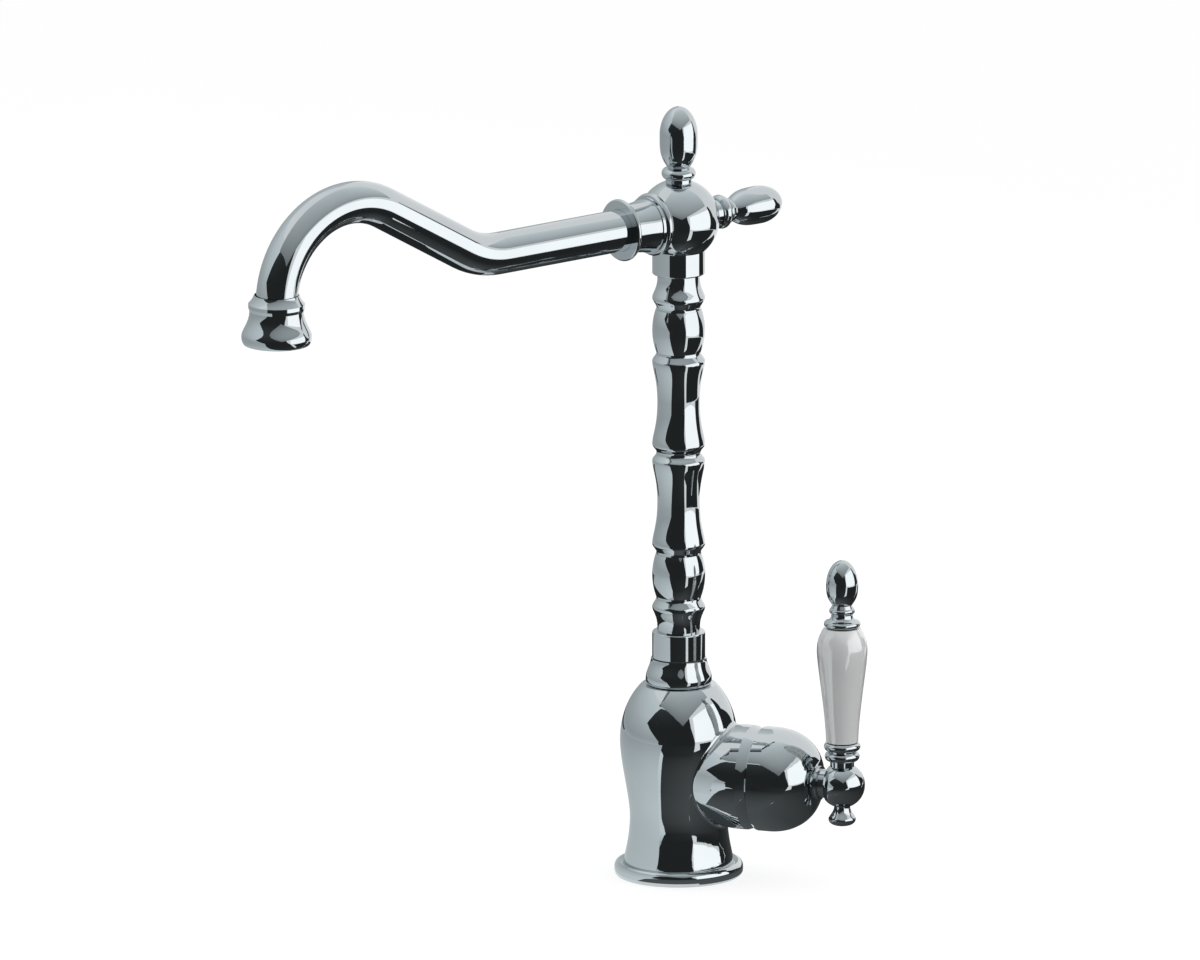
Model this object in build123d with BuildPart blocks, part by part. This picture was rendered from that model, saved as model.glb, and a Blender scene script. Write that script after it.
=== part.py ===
from build123d import *

import os
from math import cos, radians, sin, sqrt, tan

# Kitchen mixer with a side lever and a swivel spout, in millimetres.
# The origin is on the column axis at the deck, +Z is up and +X runs along the lever boss.

# Clearances shared by the pieces
screw_clearance = 0.05  # turned ends that screw or press into one another
running_clearance = 0.05  # bearing fits, on the radius
socket_clearance = 0.10  # spigot in the body socket, on the radius
seal_clearance = 0.05  # sealing rings, free in their grooves
face_gap = 0.02  # lapped or sliding flat faces
sweep_clearance = 0.40  # between the swinging dome and what it sweeps over
groove_room = 1.3  # width of a sealing groove as a share of its ring's section

# Foot ring and its seal
foot_radius = 27.3
foot_tread_radius = 25.2
foot_height = 5.4
foot_widest = 3.4
foot_crest_radius = 25.4
foot_crest_height = 6.1
foot_bore_radius = 19.0
seal_inner_radius = 21.5
seal_width = 3.0
seal_thickness = 1.5

# Bell-shaped body
bell_foot_radius = 23.3
waist_radius = 20.7
waist_height = 25.5
belly_radius = 24.9
belly_height = 59.0
bell_height = 83.0
bell_top_radius = 15.76

# Side boss, cartridge bore and waterways in the body
boss_height = 44.7
boss_radius = 22.2
boss_end = 38.6
boss_root_place = 10.0
boss_root_radius = 17.9
boss_root_slope = 0.34  # rise of the boss where it leaves the bell
boss_root_reach = 7.0
boss_flare_end = 29.0
boss_flare_reach = 7.5
junction_fillet = 1.5
cartridge_seat = 8.0
inlet_spread = 7.5
inlet_rise = 4.0
inlet_radius = 2.6
outlet_drop = 6.5
outlet_radius = 3.2
riser_spread = 9.4
riser_radius = 2.8
hose_spread = 10.4
hose_thread_radius = 4.5
hose_thread_depth = 12.0
stud_thread_radius = 3.4
stud_thread_depth = 16.0

# Collar on the bell, swivel bush and spigot
collar_height = 11.3
collar_base_radius = 12.6
collar_radius = 14.0
collar_widest = 2.6
collar_top_radius = 11.8
collar_skirt_radius = 11.8
collar_skirt_depth = 6.0
bush_wall = 1.5
swivel_gap = 0.5
bush_flange_radius = 10.9
spigot_radius = 8.5
spigot_floor_gap = 1.0
socket_floor = 66.0
clip_space = 2.0
clip_thickness = 1.4
clip_radius = 10.4
clip_seat_radius = 7.3
clip_opening = 7.0
spigot_ring_section = 1.9
spigot_ring_pitch = 3.6
spigot_ring_first = 2.2

# Swivel ring and column
ring_radius = 11.25
ring_height = 11.2
ring_edge = 0.6
water_radius = 4.0
pin_radius = 6.6
pin_length = 8.0
pin_ring_section = 1.5
column_neck_radius = 9.05
column_bead_radius = 11.25
column_groove_radius = 9.5
end_neck_straight = 1.6
end_neck_length = 9.0
bead_fall = 4.0
groove_width = 0.8
barrel_length = 18.4
barrel_end_radius = 9.7
bead_rise = 3.4
spool_flare = 18.15
mid_groove_fall = 3.2
mid_groove_width = 0.35

# Ball head
ball_radius = 17.4
head_rise = 23.4
finial_seat_radius = 6.0
collar_seat = 13.0
head_bore_radius = 6.0
spout_stud_radius = 7.4
spout_stud_length = 7.0

# Finials of the head
finial_stud_radius = 2.5
finial_stud_length = 6.0
finial_base_radius = 5.6
finial_base_length = 1.7
finial_ring_radius = 7.3
finial_ring_length = 4.4
finial_neck_radius = 4.8
finial_neck_length = 0.6
finial_olive_radius = 8.1
finial_olive_rise = 13.8
finial_olive_tip = 12.4
rear_base_length = 4.0
rear_ring_length = 4.2
rear_small_ring_radius = 5.7
rear_small_ring_length = 2.0
rear_neck_radius = 4.6
rear_neck_length = 1.9
rear_olive_rise = 14.5
rear_olive_tip = 11.6

# Spout collar and tube
spout_swing = 31.3  # degrees, from straight ahead (-Y) towards -X
collar_bead_radius = 13.5
collar_bead_length = 3.0
collar_bead_crown = 0.9
collar_step_radius = 12.2
collar_step_length = 1.6
collar_neck_start_radius = 11.6
collar_neck_end_radius = 10.45
collar_neck_length = 12.6
flange_radius = 13.3
flange_length = 2.0
flange_crown = 0.6
tube_radius = 9.0
tube_wall = 1.0
tube_seat = 18.0
spout_seal_thickness = 1.5
spout_reach = 218.3
bend_radius = 40.0
rise_angle = 29.4
gooseneck_radius = 38.8
gooseneck_straight = 2.4  # from the end of the gooseneck's arc to the tube's end

# Outlet bell and aerator
outlet_drop_height = 21.5  # from the spout axis down to the outlet rim
outlet_height = 21.4
outlet_gap = 0.4
outlet_top_wall = 0.3
outlet_cone_hollow = 0.5
outlet_cone_radius = 12.1
outlet_cone_height = 3.8
outlet_band_height = 1.6
outlet_waist_radius = 11.6
outlet_waist_height = 1.4
outlet_lip_radius = 15.0
outlet_lip_height = 3.4
outlet_rim_radius = 13.6
outlet_rim_round = 0.6
tube_end_height = 14.4
tube_stop_radius = 7.5
aerator_radius = 10.8
aerator_wall = 1.8
aerator_height = 9.0
aerator_recess = 0.8
aerator_lip = 1.0
aerator_seal_thickness = 1.4
screen_thickness = 1.2
screen_hole_radius = 0.55
screen_hole_pitch = 2.3
screen_hole_rings = 3

# Ceramic cartridge, along the boss
base_thickness = 4.0
port_ring_section = 1.2
port_ring_gap = 0.8
disc_thickness = 3.5
fixed_disc_radius = 13.8
moving_disc_radius = 12.6
pocket_width = 16.0
pocket_height = 9.0
pocket_depth = 1.6
pocket_top = 0.4
disc_travel = 2.84
carrier_thickness = 2.8
carrier_radius = 11.0
carrier_hole_radius = 3.5
housing_radius = 17.5
housing_bore_radius = 14.6
turret_radius = 11.95
turret_flange_radius = 14.0
turret_flange_length = 2.5
turret_lift = 0.8
turret_end_gap = 4.1
nut_radius = 19.0
nut_length = 6.0
nut_seat_width = 2.0
nut_notch_width = 3.0
pivot_place = 26.5
pivot_radius = 2.0
pivot_half_length = 10.4
stem_width = 8.0
stem_inner_reach = 3.2
finger_radius = 2.2
finger_gap = 0.4
slot_side_clearance = 0.2
slot_low = 8.6
slot_high = 5.4
cover_wall = 0.8
cover_bore_radius = 10.2
cover_opening_radius = 11.8
cover_dome_clearance = 0.6  # to the cavity of the lever's dome
cover_bore_clearance = 0.35  # to the nut's thread in the boss
cover_seam = 0.25  # to the boss's rounded end
cover_slot_clearance = 0.8  # to each side of the dome's hub

# Lever dome, neck and ball
seam_lap = 0.6  # of the boss's rounded end inside the dome's rim
dome_radius = 22.2
dome_sweep_radius = 23.5
dome_shoulder = 43.0
dome_end = 62.8
dome_end_radius = 7.6
dome_round_reach = 9.0
dome_round_fall = 9.6
dome_round_lean = 1.5
hub_radius = 9.0
hub_face = 43.0
stem_end = 55.5
stem_socket_gap = 0.1
grub_place = 53.0
grub_radius = 2.5
grub_recess = 4.0
grub_key = 2.5
grub_key_depth = 2.5
neck_flange_radius = 7.3
neck_flange_length = 1.4
neck_radius = 6.1
neck_length = 3.6
neck_stud_radius = 3.5
neck_stud_length = 6.4
neck_tip_length = 4.5
lever_ball_radius = 9.7
ball_flat_depth = 5.9

# Lever handle, upwards from the ball centre
rod_radius = 2.0
rod_foot = 4.3
rod_engagement = 6.0
ferrule_neck_radius = 5.1
ferrule_neck_length = 2.6
ferrule_ring_radius = 7.4
ferrule_ring_length = 3.6
ferrule_groove_radius = 6.0
ferrule_groove_length = 0.9
ferrule_flange_radius = 7.75
ferrule_flange_length = 3.2
cushion_thickness = 0.5
cushion_radius = 6.3
handle_foot_radius = 6.8
handle_length = 49.6
handle_swell_radius = 10.75
handle_swell_height = 39.5
handle_foot_spread = 0.4
handle_shoulder_spread = 1.5
handle_top_radius = 7.7
handle_bore_radius = 2.4
cap_disc_radius = 7.75
cap_disc_length = 2.4
cap_top_radius = 4.6
cap_cone_length = 2.8
handle_finial_base_radius = 4.4
handle_finial_base_length = 0.5
handle_finial_ring_radius = 5.5
handle_finial_ring_length = 2.3
handle_finial_neck_radius = 4.2
handle_finial_neck_length = 1.4
handle_finial_olive_radius = 6.8
handle_finial_olive_rise = 8.6
handle_finial_olive_tip = 10.8
bottom_base_radius = 3.4
bottom_neck_length = 2.6
bottom_mushroom_radius = 5.8
bottom_mushroom_length = 5.9
bottom_stud_radius = 2.0
bottom_stud_length = 4.6

# Heights up the column
collar_top = bell_height + collar_height
ring_foot = collar_top + swivel_gap
column_foot = ring_foot + ring_height
first_bead = end_neck_straight + end_neck_length
barrel_foot = first_bead + bead_fall + groove_width
spool_foot = barrel_foot + barrel_length + groove_width
spool_bead = spool_foot + bead_rise
spool_mid = spool_bead + spool_flare
top_bead = spool_mid + spool_flare
half_column = top_bead + mid_groove_fall + mid_groove_width
column_top = column_foot + 2 * half_column
head_height = column_top + head_rise
finial_seat = sqrt(ball_radius**2 - finial_seat_radius**2)

# Radii that mating pieces share
socket_radius = spigot_radius + socket_clearance
bush_bore_radius = spigot_radius + running_clearance
bush_radius = bush_bore_radius + bush_wall
collar_bore_radius = bush_radius + screw_clearance
pin_socket_radius = pin_radius + screw_clearance
tube_bore_radius = tube_radius - tube_wall
cartridge_bore_radius = housing_radius + screw_clearance
skirt_foot = bell_height - collar_skirt_depth
clip_floor = skirt_foot - clip_space
clip_foot = clip_floor + (clip_space - clip_thickness) / 2
spigot_foot = socket_floor + spigot_floor_gap

# Places along the boss
base_end = cartridge_seat + base_thickness
fixed_disc_end = base_end + disc_thickness
moving_disc_foot = fixed_disc_end + face_gap
carrier_foot = moving_disc_foot + disc_thickness
carrier_end = carrier_foot + carrier_thickness
turret_foot = carrier_end + turret_lift
turret_step = turret_foot + turret_flange_length
turret_end = boss_end - turret_end_gap
housing_step = turret_step + face_gap
nut_seat = turret_end - nut_length - face_gap
disc_offset = -disc_travel / 2
dome_rim = boss_end - seam_lap
neck_start = dome_end + neck_flange_length
neck_end = neck_start + neck_length
lever_place = neck_end + ball_flat_depth

# Heights up the lever, from the ball centre
ferrule_seat = sqrt(lever_ball_radius**2 - ferrule_neck_radius**2)
ferrule_ring_foot = ferrule_seat + ferrule_neck_length
ferrule_groove_foot = ferrule_ring_foot + ferrule_ring_length
ferrule_flange_foot = ferrule_groove_foot + ferrule_groove_length
ferrule_top = ferrule_flange_foot + ferrule_flange_length
handle_foot = ferrule_top + cushion_thickness
handle_top = handle_foot + handle_length
cap_foot = handle_top + cushion_thickness
cap_top = cap_foot + cap_disc_length + cap_cone_length
bottom_seat = -sqrt(lever_ball_radius**2 - bottom_base_radius**2)

# Directions and planes
spout_direction = (-sin(radians(spout_swing)), -cos(radians(spout_swing)), 0)
spout_normal = (spout_direction[1], -spout_direction[0], 0)
upright = Plane(origin=(0, 0, 0), x_dir=(-1, 0, 0), z_dir=(0, 1, 0))
column_side = Plane(origin=(0, 0, column_foot), x_dir=(-1, 0, 0), z_dir=(0, 1, 0))
boss_face = Plane(origin=(0, 0, boss_height), x_dir=(0, 1, 0), z_dir=(1, 0, 0))
boss_side = Plane.XY.offset(boss_height)
boss_axis = Axis((0, 0, boss_height), (1, 0, 0))
lever_side = Plane(origin=(lever_place, 0, boss_height), x_dir=(1, 0, 0), z_dir=(0, -1, 0))
lever_foot = Plane(origin=(lever_place, 0, boss_height), x_dir=(1, 0, 0), z_dir=(0, 0, 1))
lever_axis = Axis((lever_place, 0, boss_height), (0, 0, 1))
head_centre = (0, 0, head_height)
spout_side = Plane(origin=head_centre, x_dir=spout_direction, z_dir=spout_normal)
spout_face = Plane(origin=head_centre, x_dir=(0, 0, 1), z_dir=spout_direction)
spout_axis = Axis(head_centre, spout_direction)
rear_side = Plane(origin=head_centre, x_dir=(0, 0, 1), z_dir=spout_normal)
outlet_foot = Plane(
    origin=(
        spout_reach * spout_direction[0],
        spout_reach * spout_direction[1],
        head_height - outlet_drop_height,
    ),
    x_dir=spout_direction,
    z_dir=(0, 0, 1),
)
outlet_side = Plane(origin=outlet_foot.origin, x_dir=spout_direction, z_dir=spout_normal)
outlet_axis = Axis(outlet_foot.origin, (0, 0, 1))

# Shares used in turned outlines
round_handle = 0.5523  # handle of a cubic curve that follows a quarter circle, of its radius
bead_crown = 0.3  # rise of a bead's round edge, of the bead's length

# Ports of the cartridge as (y, z, radius) on the boss face
ports = (
    (-inlet_spread, inlet_rise, inlet_radius),
    (inlet_spread, inlet_rise, inlet_radius),
    (0, -outlet_drop, outlet_radius),
)


def smooth_run(start, end, start_pull=1 / 3, end_pull=1 / 3):
    """A run of a turned outline that is upright at both ends."""
    rise = end[1] - start[1]
    start_handle = (start[0], start[1] + rise * start_pull)
    end_handle = (end[0], end[1] - rise * end_pull)
    return Bezier(start, start_handle, end_handle, end)


def flare(waist, crest):
    """A long waist that swells late into a round crest."""
    return smooth_run(waist, crest, 0.58, 0.22)


def ring_groove(bore, section):
    """Bottom radius of the groove for a sealing ring that fills the gap to a bore."""
    return bore - section - 2 * seal_clearance


def ring_centre(bore, section):
    """Middle radius of that sealing ring."""
    return bore - seal_clearance - section / 2


def finial_outline(plane, foot, base, rings, neck, olive, tip):
    """Half outline of a ringed olive finial, with base, each ring, neck and olive as (radius, length)."""
    ring_place = foot + base[1]
    neck_place = ring_place + sum(ring[1] for ring in rings) + neck[1]
    widest = neck_place + olive[1]
    under_rise = olive[1] / sqrt(1 - (neck[0] / olive[0]) ** 2)
    with BuildSketch(plane) as outline:
        with BuildLine():
            Polyline((0, foot), (base[0], foot), (base[0], ring_place))
            edge = base[0]
            for radius, length in rings:
                bead_radius = radius - length * bead_crown
                Line((edge, ring_place), (bead_radius, ring_place))
                ThreePointArc(
                    (bead_radius, ring_place),
                    (radius, ring_place + length / 2),
                    (bead_radius, ring_place + length),
                )
                edge = bead_radius
                ring_place += length
            Line((edge, ring_place), (neck[0], neck_place))
            handle = under_rise * 0.35
            Bezier(
                (neck[0], neck_place),
                (neck[0] + handle * 0.55, neck_place + handle * 0.75),
                (olive[0], widest - olive[1] * 0.5),
                (olive[0], widest),
            )
            Bezier(
                (olive[0], widest),
                (olive[0], widest + tip * round_handle),
                (olive[0] * round_handle, widest + tip),
                (0, widest + tip),
            )
            Line((0, widest + tip), (0, foot))
        make_face()
    return outline.sketch.faces()


os.makedirs("parts", exist_ok=True)

# Foot ring with a recess for the seal on its underside
with BuildPart() as base_ring:
    with BuildSketch(upright):
        with BuildLine():
            Polyline(
                (bell_foot_radius, foot_height),
                (foot_bore_radius + screw_clearance, foot_height),
                (foot_bore_radius + screw_clearance, 0),
                (foot_tread_radius, 0),
            )
            Bezier(
                (foot_tread_radius, 0),
                (foot_radius, 0),
                (foot_radius, foot_widest * (1 - round_handle)),
                (foot_radius, foot_widest),
            )
            Bezier(
                (foot_radius, foot_widest),
                (foot_radius, foot_widest + (foot_crest_height - foot_widest) * round_handle),
                (foot_crest_radius + (foot_radius - foot_crest_radius) * round_handle, foot_crest_height),
                (foot_crest_radius, foot_crest_height),
            )
            Bezier(
                (foot_crest_radius, foot_crest_height),
                ((foot_crest_radius + bell_foot_radius) / 2, foot_crest_height),
                (bell_foot_radius, foot_height),
            )
        make_face()
    revolve(axis=Axis.Z)
    with BuildSketch(Plane.XY):
        Circle(seal_inner_radius + seal_width + seal_clearance)
        Circle(seal_inner_radius - seal_clearance, mode=Mode.SUBTRACT)
    extrude(amount=seal_thickness, mode=Mode.SUBTRACT)
base_ring.part.label = "base_ring"
export_step(base_ring.part, "parts/base_ring.step")

with BuildPart() as base_seal:
    with BuildSketch(Plane.XY):
        Circle(seal_inner_radius + seal_width)
        Circle(seal_inner_radius, mode=Mode.SUBTRACT)
    extrude(amount=seal_thickness)
base_seal.part.label = "base_seal"
export_step(base_seal.part, "parts/base_seal.step")

# Bell-shaped body with the side boss
boss_sweep_radius = dome_sweep_radius - sweep_clearance
boss_round_start = pivot_place + sqrt(boss_sweep_radius**2 - boss_radius**2)
boss_end_radius = sqrt(boss_sweep_radius**2 - (boss_end - pivot_place) ** 2)
boss_round_mid = (boss_round_start + boss_end) / 2
boss_round_mid_radius = sqrt(boss_sweep_radius**2 - (boss_round_mid - pivot_place) ** 2)
shoulder_length = bell_height - belly_height
belly_rise = shoulder_length / sqrt(1 - (bell_top_radius / belly_radius) ** 2)
bell_top_slope = (-shoulder_length * belly_radius**2, bell_top_radius * belly_rise**2)
shoulder_height = belly_height + belly_rise * sin(radians(25))
shoulder_radius = belly_radius * cos(radians(25))
with BuildPart() as mixer_body:
    with BuildSketch(upright):
        with BuildLine():
            Polyline(
                (0, bell_height),
                (0, 0),
                (foot_bore_radius, 0),
                (foot_bore_radius, foot_height),
                (bell_foot_radius, foot_height),
            )
            smooth_run((bell_foot_radius, foot_height), (waist_radius, waist_height), 0.15, 0.5)
            smooth_run((waist_radius, waist_height), (belly_radius, belly_height), 0.25, 0.3)
            Spline(
                (belly_radius, belly_height),
                (shoulder_radius, shoulder_height),
                (bell_top_radius, bell_height),
                tangents=((0, 1), bell_top_slope),
            )
            Line((bell_top_radius, bell_height), (0, bell_height))
        make_face()
    revolve(axis=Axis.Z)
    with BuildSketch(boss_side):
        with BuildLine():
            Polyline(
                (boss_end, boss_end_radius),
                (boss_end, 0),
                (boss_root_place, 0),
                (boss_root_place, boss_root_radius),
            )
            Bezier(
                (boss_root_place, boss_root_radius),
                (
                    boss_root_place + boss_root_reach,
                    boss_root_radius + boss_root_reach * boss_root_slope,
                ),
                (boss_flare_end - boss_flare_reach, boss_radius),
                (boss_flare_end, boss_radius),
            )
            Line((boss_flare_end, boss_radius), (boss_round_start, boss_radius))
            ThreePointArc(
                (boss_round_start, boss_radius),
                (boss_round_mid, boss_round_mid_radius),
                (boss_end, boss_end_radius),
            )
        make_face()
    revolve(axis=boss_axis)
    junction = mixer_body.edges().filter_by(GeomType.BSPLINE).filter_by_position(Axis.X, 1, boss_end)
    fillet(junction, radius=junction_fillet)
    with BuildSketch(boss_face.offset(cartridge_seat)):
        Circle(cartridge_bore_radius)
    extrude(amount=boss_end - cartridge_seat, mode=Mode.SUBTRACT)
    with BuildSketch(boss_face.offset(nut_seat)):
        Circle(nut_radius + screw_clearance)
    extrude(amount=boss_end - nut_seat, mode=Mode.SUBTRACT)
    with BuildSketch(Plane.XY.offset(socket_floor)):
        Circle(socket_radius)
    extrude(amount=bell_height - socket_floor, mode=Mode.SUBTRACT)
    with BuildSketch(Plane.XY.offset(clip_floor)):
        Circle(collar_skirt_radius + screw_clearance)
    extrude(amount=bell_height - clip_floor, mode=Mode.SUBTRACT)
    with BuildSketch(boss_face):
        for port_y, port_z, port_radius in ports:
            with Locations((port_y, port_z)):
                Circle(port_radius)
    extrude(amount=cartridge_seat, mode=Mode.SUBTRACT)
    with BuildSketch(Plane.XY.offset(boss_height - outlet_drop - outlet_radius)):
        Circle(outlet_radius)
    extrude(amount=socket_floor - boss_height + outlet_drop + outlet_radius, mode=Mode.SUBTRACT)
    with BuildSketch(Plane.XY):
        with Locations((0, -riser_spread), (0, riser_spread)):
            Circle(riser_radius)
    extrude(amount=boss_height + inlet_rise + inlet_radius, mode=Mode.SUBTRACT)
    with BuildSketch(Plane.XY):
        with Locations((0, -hose_spread), (0, hose_spread)):
            Circle(hose_thread_radius)
    extrude(amount=hose_thread_depth, mode=Mode.SUBTRACT)
    with BuildSketch(Plane.XY):
        Circle(stud_thread_radius)
    extrude(amount=stud_thread_depth, mode=Mode.SUBTRACT)
mixer_body.part.label = "mixer_body"
export_step(mixer_body.part, "parts/mixer_body.step")

# Flared collar screwed into the top of the bell
with BuildPart() as neck_collar:
    with BuildSketch(upright):
        with BuildLine():
            Polyline(
                (collar_top_radius, collar_top),
                (collar_bore_radius, collar_top),
                (collar_bore_radius, skirt_foot),
                (collar_skirt_radius, skirt_foot),
                (collar_skirt_radius, bell_height),
                (collar_base_radius, bell_height),
            )
            Bezier(
                (collar_base_radius, bell_height),
                (collar_radius, bell_height),
                (collar_radius, bell_height + collar_widest / 2),
                (collar_radius, bell_height + collar_widest),
            )
            smooth_run((collar_radius, bell_height + collar_widest), (collar_top_radius, collar_top))
        make_face()
    revolve(axis=Axis.Z)
neck_collar.part.label = "neck_collar"
export_step(neck_collar.part, "parts/neck_collar.step")

# Bearing bush, with the thin flange that the spout turns on
with BuildPart() as swivel_bush:
    with BuildSketch(Plane.XY.offset(skirt_foot)):
        Circle(bush_radius)
    extrude(amount=collar_top - skirt_foot)
    with BuildSketch(Plane.XY.offset(collar_top)):
        Circle(bush_flange_radius)
    extrude(amount=swivel_gap - face_gap)
    with BuildSketch(Plane.XY.offset(skirt_foot)):
        Circle(bush_bore_radius)
    extrude(amount=ring_foot - skirt_foot, mode=Mode.SUBTRACT)
swivel_bush.part.label = "swivel_bush"
export_step(swivel_bush.part, "parts/swivel_bush.step")

# Swivel ring with the spigot below it and the screwed pin above it
spigot_ring_places = [spigot_foot + spigot_ring_first + i * spigot_ring_pitch for i in range(2)]
pin_ring_place = column_foot + pin_length / 2
with BuildPart() as swivel_spigot:
    with BuildSketch(Plane.XY.offset(ring_foot)):
        Circle(ring_radius)
    extrude(amount=ring_height)
    fillet(swivel_spigot.edges().group_by(Axis.Z)[-1], radius=ring_edge)
    with BuildSketch(Plane.XY.offset(spigot_foot)):
        Circle(spigot_radius)
    extrude(amount=ring_foot - spigot_foot)
    with BuildSketch(Plane.XY.offset(column_foot)):
        Circle(pin_radius)
    extrude(amount=pin_length)
    for place in spigot_ring_places:
        with BuildSketch(Plane.XY.offset(place - spigot_ring_section * groove_room / 2)):
            Circle(spigot_radius)
            Circle(ring_groove(socket_radius, spigot_ring_section), mode=Mode.SUBTRACT)
        extrude(amount=spigot_ring_section * groove_room, mode=Mode.SUBTRACT)
    with BuildSketch(Plane.XY.offset(clip_foot - face_gap)):
        Circle(spigot_radius)
        Circle(clip_seat_radius, mode=Mode.SUBTRACT)
    extrude(amount=clip_thickness + 2 * face_gap, mode=Mode.SUBTRACT)
    with BuildSketch(Plane.XY.offset(pin_ring_place - pin_ring_section * groove_room / 2)):
        Circle(pin_radius)
        Circle(ring_groove(pin_socket_radius, pin_ring_section), mode=Mode.SUBTRACT)
    extrude(amount=pin_ring_section * groove_room, mode=Mode.SUBTRACT)
    with BuildSketch(Plane.XY.offset(spigot_foot)):
        Circle(water_radius)
    extrude(amount=column_foot + pin_length - spigot_foot, mode=Mode.SUBTRACT)
swivel_spigot.part.label = "swivel_spigot"
export_step(swivel_spigot.part, "parts/swivel_spigot.step")

with BuildPart() as spigot_o_rings:
    for place in spigot_ring_places:
        with Locations((0, 0, place)):
            Torus(ring_centre(socket_radius, spigot_ring_section), spigot_ring_section / 2)
spigot_o_rings.part.label = "spigot_o_rings"
export_step(spigot_o_rings.part, "parts/spigot_o_rings.step")

# Open spring clip that keeps the spigot under the collar
with BuildPart() as spigot_clip:
    with BuildSketch(Plane.XY.offset(clip_foot)):
        Circle(clip_radius)
        Circle(clip_seat_radius + seal_clearance, mode=Mode.SUBTRACT)
        with Locations((clip_radius / 2, 0)):
            Rectangle(clip_radius, clip_opening, mode=Mode.SUBTRACT)
    extrude(amount=clip_thickness)
spigot_clip.part.label = "spigot_clip"
export_step(spigot_clip.part, "parts/spigot_clip.step")

# Turned column: neck, bead, barrel and spool, mirrored about its middle
with BuildPart() as column:
    with BuildSketch(column_side):
        with BuildLine():
            Polyline(
                (0, 0),
                (column_neck_radius, 0),
                (column_neck_radius, end_neck_straight),
            )
            flare((column_neck_radius, end_neck_straight), (column_bead_radius, first_bead))
            smooth_run(
                (column_bead_radius, first_bead),
                (column_groove_radius, first_bead + bead_fall),
            )
            Polyline(
                (column_groove_radius, first_bead + bead_fall),
                (column_groove_radius, barrel_foot),
                (barrel_end_radius, barrel_foot),
            )
            ThreePointArc(
                (barrel_end_radius, barrel_foot),
                (column_bead_radius, barrel_foot + barrel_length / 2),
                (barrel_end_radius, barrel_foot + barrel_length),
            )
            Polyline(
                (barrel_end_radius, barrel_foot + barrel_length),
                (column_groove_radius, barrel_foot + barrel_length),
                (column_groove_radius, spool_foot),
            )
            smooth_run((column_groove_radius, spool_foot), (column_bead_radius, spool_bead))
            smooth_run(
                (column_bead_radius, spool_bead),
                (column_neck_radius, spool_mid),
                0.22,
                0.58,
            )
            flare((column_neck_radius, spool_mid), (column_bead_radius, top_bead))
            smooth_run(
                (column_bead_radius, top_bead),
                (column_groove_radius, top_bead + mid_groove_fall),
            )
            Polyline(
                (column_groove_radius, top_bead + mid_groove_fall),
                (column_groove_radius, half_column),
                (0, half_column),
                (0, 0),
            )
        make_face()
    revolve(axis=Axis.Z)
    mirror(about=Plane.XY.offset(column_foot + half_column))
    with BuildSketch(Plane.XY.offset(column_foot)):
        Circle(water_radius)
    extrude(amount=2 * half_column, mode=Mode.SUBTRACT)
    with BuildSketch(Plane.XY.offset(column_foot), Plane.XY.offset(column_top - pin_length - face_gap)):
        Circle(pin_socket_radius)
    extrude(amount=pin_length + face_gap, mode=Mode.SUBTRACT)
column.part.label = "column"
export_step(column.part, "parts/column.step")

head_pin_ring_place = column_top - pin_length / 2
with BuildPart() as column_o_rings:
    for place in (pin_ring_place, head_pin_ring_place):
        with Locations((0, 0, place)):
            Torus(ring_centre(pin_socket_radius, pin_ring_section), pin_ring_section / 2)
column_o_rings.part.label = "column_o_rings"
export_step(column_o_rings.part, "parts/column_o_rings.step")

# Ball head: ball, lower ring and screwed pin, with flats for the collar and the finials
with BuildPart() as head_ball:
    with Locations(head_centre):
        Sphere(ball_radius)
    with BuildSketch(Plane.XY.offset(column_top)):
        Circle(ring_radius)
    extrude(amount=head_rise)
    fillet(head_ball.edges().group_by(Axis.Z)[0], radius=ring_edge)
    with BuildSketch(Plane.XY.offset(column_top - pin_length)):
        Circle(pin_radius)
    extrude(amount=pin_length)
    with BuildSketch(spout_face.offset(collar_seat), spout_face.offset(-finial_seat - ball_radius)):
        Circle(ball_radius)
    extrude(amount=ball_radius, mode=Mode.SUBTRACT)
    with BuildSketch(Plane.XY.offset(head_height + finial_seat)):
        Circle(ball_radius)
    extrude(amount=ball_radius, mode=Mode.SUBTRACT)
    with BuildSketch(Plane.XY.offset(column_top - pin_length)):
        Circle(water_radius)
    extrude(amount=pin_length + head_rise, mode=Mode.SUBTRACT)
    with BuildSketch(spout_face):
        Circle(head_bore_radius)
    extrude(amount=collar_seat, mode=Mode.SUBTRACT)
    with BuildSketch(spout_face.offset(collar_seat - spout_stud_length - face_gap)):
        Circle(spout_stud_radius + screw_clearance)
    extrude(amount=spout_stud_length + face_gap, mode=Mode.SUBTRACT)
    with BuildSketch(spout_face.offset(-finial_seat)):
        Circle(finial_stud_radius + screw_clearance)
    extrude(amount=finial_stud_length + face_gap, mode=Mode.SUBTRACT)
    with BuildSketch(Plane.XY.offset(head_height + finial_seat - finial_stud_length - face_gap)):
        Circle(finial_stud_radius + screw_clearance)
    extrude(amount=finial_stud_length + face_gap, mode=Mode.SUBTRACT)
    with BuildSketch(Plane.XY.offset(head_pin_ring_place - pin_ring_section * groove_room / 2)):
        Circle(pin_radius)
        Circle(ring_groove(pin_socket_radius, pin_ring_section), mode=Mode.SUBTRACT)
    extrude(amount=pin_ring_section * groove_room, mode=Mode.SUBTRACT)
head_ball.part.label = "head_ball"
export_step(head_ball.part, "parts/head_ball.step")

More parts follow.
